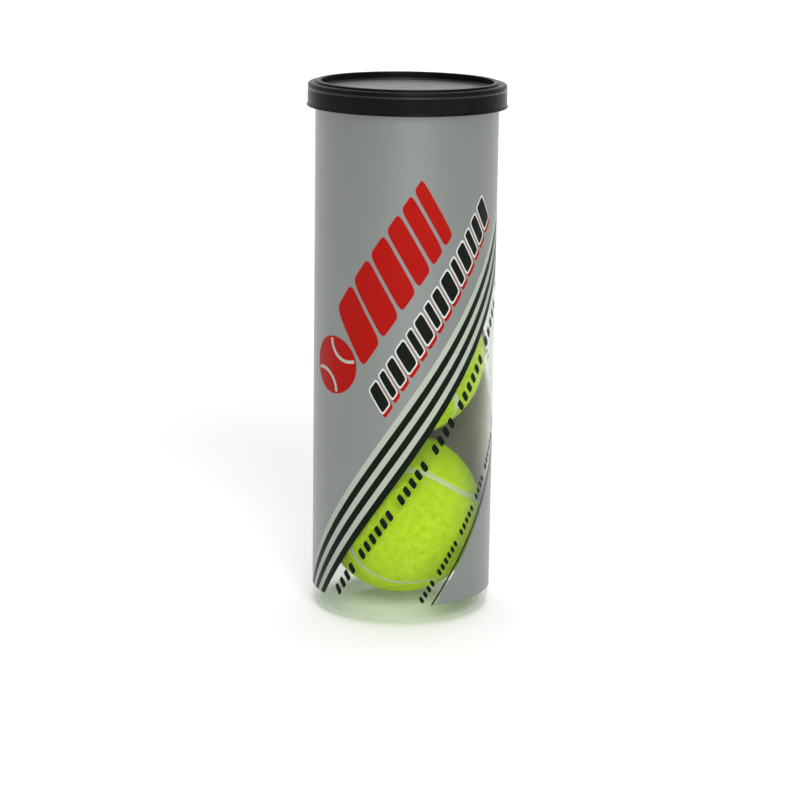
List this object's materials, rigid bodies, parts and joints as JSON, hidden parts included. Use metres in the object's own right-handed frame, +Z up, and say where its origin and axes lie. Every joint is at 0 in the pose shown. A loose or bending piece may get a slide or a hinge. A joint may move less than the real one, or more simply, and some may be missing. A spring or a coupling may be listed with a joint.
{
  "type": "tennis ball can",
  "caption": "Clear plastic pressure can with a striped wrap label, easy-open metal end with pull tab, push-on black overcap and stacked tennis balls inside.",
  "frame": {"origin": "centre of the base, at the height of the standing ring", "axes": "+Z up along the can's axis, -Y towards the front of the label, +X to the front view's right"},
  "size_m": [0.0804, 0.0804, 0.216],
  "materials": {
    "clear_plastic": "clear gloss PET",
    "label_print": "printed clear film, silver ground with stripes",
    "end_metal": "lacquered satin",
    "tab_metal": "satin",
    "sealing_compound": "matt",
    "cap_plastic": "satin black polyethylene",
    "core_rubber": "matt",
    "felt": "napped felt",
    "seam_rubber": "matt, dusty"
  },
  "bodies": {
    "can": {"can_body": "clear_plastic", "label": "label_print", "seam_ring": "end_metal", "seam_gasket": "sealing_compound"},
    "ball_1": {"ball_1_core_lower": "core_rubber", "ball_1_core_upper": "core_rubber", "ball_1_felt_a": "felt", "ball_1_felt_b": "felt", "ball_1_seam": "seam_rubber"},
    "ball_2": {"ball_2_core_lower": "core_rubber", "ball_2_core_upper": "core_rubber", "ball_2_felt_a": "felt", "ball_2_felt_b": "felt", "ball_2_seam": "seam_rubber"},
    "ball_3": {"ball_3_core_lower": "core_rubber", "ball_3_core_upper": "core_rubber", "ball_3_felt_a": "felt", "ball_3_felt_b": "felt", "ball_3_seam": "seam_rubber"},
    "end_panel": {"tear_panel": "end_metal", "tab_rivet_island": "tab_metal"},
    "tab": {"pull_tab": "tab_metal"},
    "cap": {"overcap": "cap_plastic"}
  },
  "joints": [
    {"name": "ball_1_lift", "type": "slide", "parent": "can", "child": "ball_1", "axis": [0, 0, 1], "range_m": [0, 0.21]},
    {"name": "ball_2_lift", "type": "slide", "parent": "ball_1", "child": "ball_2", "axis": [0, 0, 1], "range_m": [0, 0.145]},
    {"name": "ball_3_lift", "type": "slide", "parent": "ball_2", "child": "ball_3", "axis": [0, 0, 1], "range_m": [0, 0.08]},
    {"name": "end_panel_lift", "type": "slide", "parent": "ball_3", "child": "end_panel", "axis": [0, 0, 1], "range_m": [0, 0.04]},
    {"name": "overcap_lift", "type": "slide", "parent": "end_panel", "child": "cap", "axis": [0, 0, 1], "range_m": [0, 0.06]},
    {"name": "pull_tab_lift", "type": "hinge", "parent": "end_panel", "child": "tab", "pos_m": [0, -0.0309, 0.21005], "axis": [1, 0, 0], "range_deg": [0, 86]}
  ],
  "couplings": [
    {"joint": "pull_tab_lift", "follows": "overcap_lift", "rad_per_m": 24.7}
  ]
}
